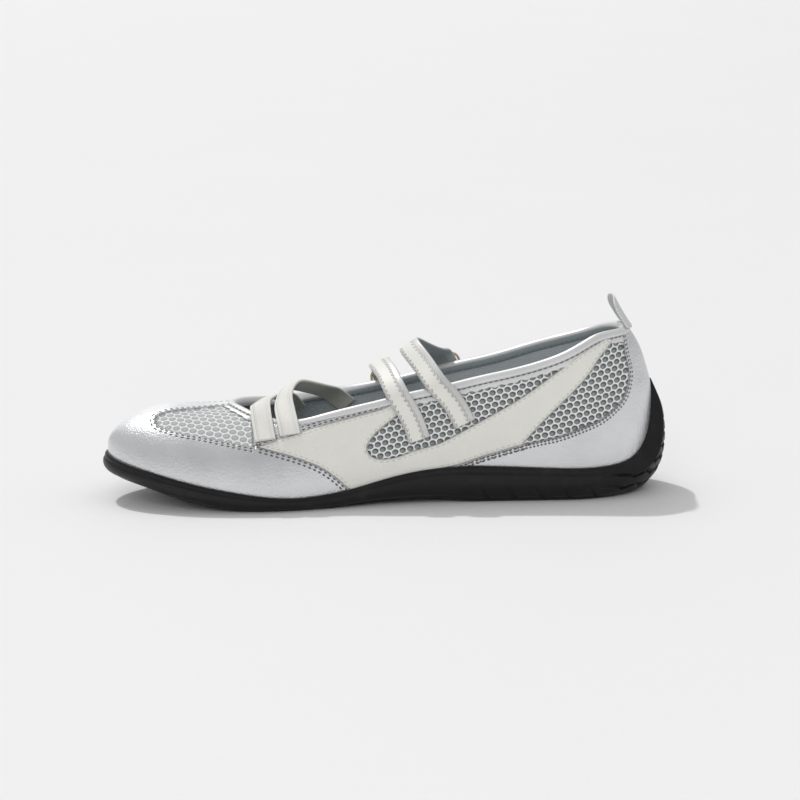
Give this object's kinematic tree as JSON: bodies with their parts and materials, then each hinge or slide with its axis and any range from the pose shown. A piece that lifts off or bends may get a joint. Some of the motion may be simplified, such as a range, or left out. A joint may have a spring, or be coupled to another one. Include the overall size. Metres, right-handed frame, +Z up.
{
  "type": "strap flat shoe",
  "caption": "Low strap flat with rubber cup sole, metallic and cream panels over mesh, elastic throat bands and buckled instep straps.",
  "frame": {"origin": "on the floor under the middle of the heel, in the plane of the sole's heel rest", "axes": "+Z up; the toe points along -X, the heel along +X; the medial (inner) side faces -Y"},
  "size_m": [0.2567, 0.0856, 0.0895],
  "materials": {
    "rubber": "satin black rubber",
    "mesh_body": "open spacer mesh on a wall of cloth",
    "insole": "cloth-faced foam board",
    "silver_leather": "metallic silver foil leather",
    "cream_leather": "smooth off-white leather",
    "binding": "soft rolled silver-white leather",
    "webbing": "woven pale grey tape",
    "elastic": "ribbed off-white elastic",
    "buckle_metal": "polished pale gold"
  },
  "bodies": {
    "root": {"outsole": "rubber", "upper": "mesh_body", "insole": "insole", "toe_mudguard": "silver_leather", "medial_facing": "silver_leather", "lateral_facing": "silver_leather", "heel_counter": "silver_leather", "medial_overlay": "cream_leather", "lateral_overlay": "cream_leather", "collar_binding": "binding", "throat_binding": "binding", "heel_tab": "webbing", "elastic_front": "elastic", "elastic_rear": "elastic", "strap_front": "cream_leather", "strap_rear": "cream_leather", "anchor_front": "cream_leather", "anchor_rear": "cream_leather", "buckle_front": "buckle_metal", "buckle_rear": "buckle_metal"}
  },
  "joints": []
}
